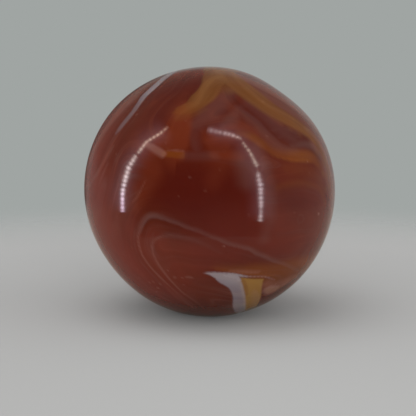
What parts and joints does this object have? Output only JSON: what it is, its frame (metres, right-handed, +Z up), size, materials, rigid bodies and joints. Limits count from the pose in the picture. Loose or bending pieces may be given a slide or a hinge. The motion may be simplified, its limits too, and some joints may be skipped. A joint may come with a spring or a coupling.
{
  "type": "glass marble",
  "caption": "Solid ball of translucent red-brown glass with caramel and white swirls melted in, a playing and display marble.",
  "frame": {"origin": "centre of the ball", "axes": "+Z up as the marble was shown, -Y towards the viewer, +X to the viewer's right"},
  "size_m": [0.025, 0.025, 0.025],
  "materials": {
    "swirled_glass": "fire-polished gloss"
  },
  "bodies": {
    "root": {"marble": "swirled_glass"}
  },
  "joints": []
}
